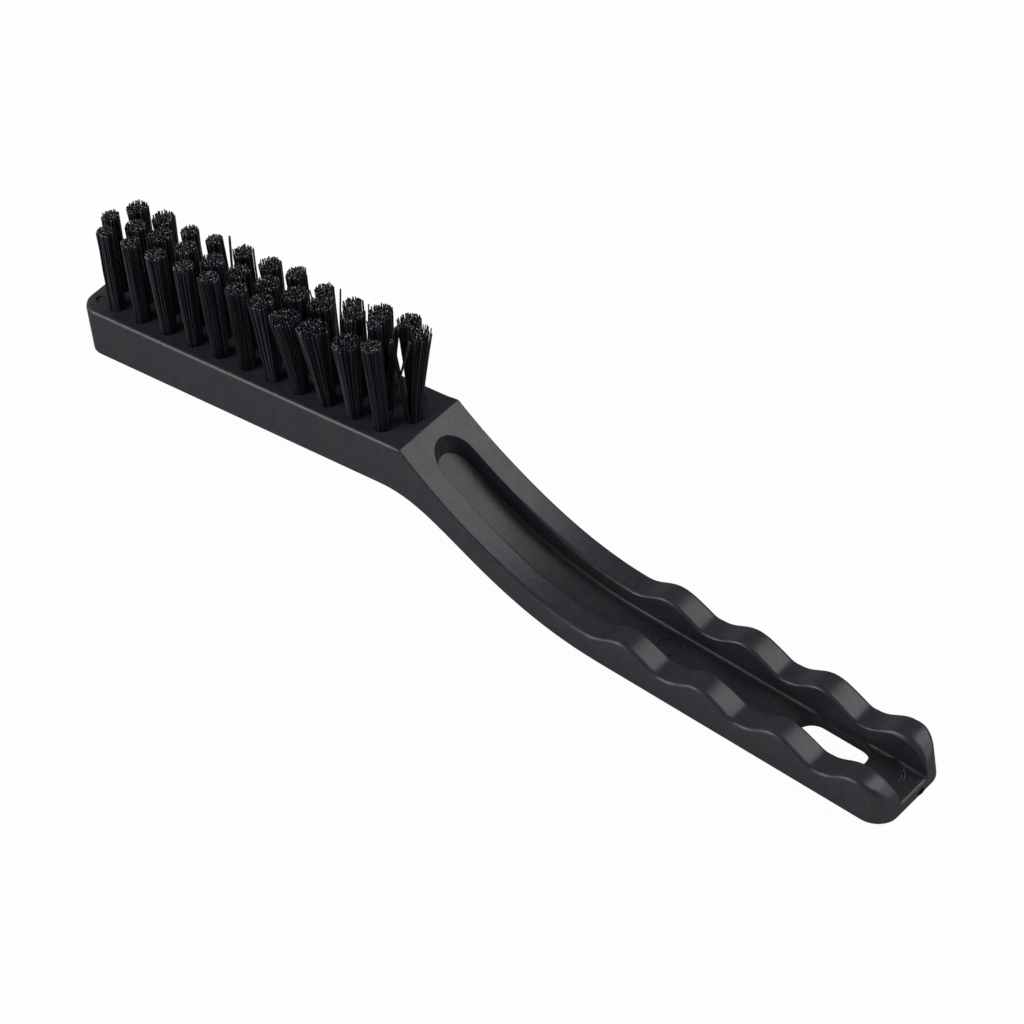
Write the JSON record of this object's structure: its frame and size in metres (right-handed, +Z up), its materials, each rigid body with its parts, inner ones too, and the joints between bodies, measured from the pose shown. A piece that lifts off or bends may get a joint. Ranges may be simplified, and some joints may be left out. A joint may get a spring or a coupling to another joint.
{
  "type": "anti-static hand brush",
  "caption": "Slim black hand brush for anti-static work: stapled bristle tufts in a straight block, a bent neck and an open-channel grip with wavy finger rails and a hanging slot.",
  "frame": {"origin": "centre of the underside of the bounding box: the brush lies on its back, bristles up, on the lower edge of its block tip and on the knee of its grip", "axes": "+X along the brush towards the hanging end, +Z up, +Y across the grip"},
  "size_m": [0.2008, 0.0202, 0.0436],
  "materials": {
    "black_plastic": "satin moulded, static-dissipative black plastic",
    "black_nylon": "fine drawn filament, soft sheen, cut square at the tips"
  },
  "bodies": {
    "root": {"handle": "black_plastic", "tuft_front_01": "black_nylon", "tuft_front_02": "black_nylon", "tuft_front_03": "black_nylon", "tuft_front_04": "black_nylon", "tuft_front_05": "black_nylon", "tuft_front_06": "black_nylon", "tuft_front_07": "black_nylon", "tuft_front_08": "black_nylon", "tuft_front_09": "black_nylon", "tuft_front_10": "black_nylon", "tuft_front_11": "black_nylon", "tuft_middle_01": "black_nylon", "tuft_middle_02": "black_nylon", "tuft_middle_03": "black_nylon", "tuft_middle_04": "black_nylon", "tuft_middle_05": "black_nylon", "tuft_middle_06": "black_nylon", "tuft_middle_07": "black_nylon", "tuft_middle_08": "black_nylon", "tuft_middle_09": "black_nylon", "tuft_middle_10": "black_nylon", "tuft_middle_11": "black_nylon", "tuft_middle_12": "black_nylon", "tuft_rear_01": "black_nylon", "tuft_rear_02": "black_nylon", "tuft_rear_03": "black_nylon", "tuft_rear_04": "black_nylon", "tuft_rear_05": "black_nylon", "tuft_rear_06": "black_nylon", "tuft_rear_07": "black_nylon", "tuft_rear_08": "black_nylon", "tuft_rear_09": "black_nylon", "tuft_rear_10": "black_nylon", "tuft_rear_11": "black_nylon"}
  },
  "joints": []
}
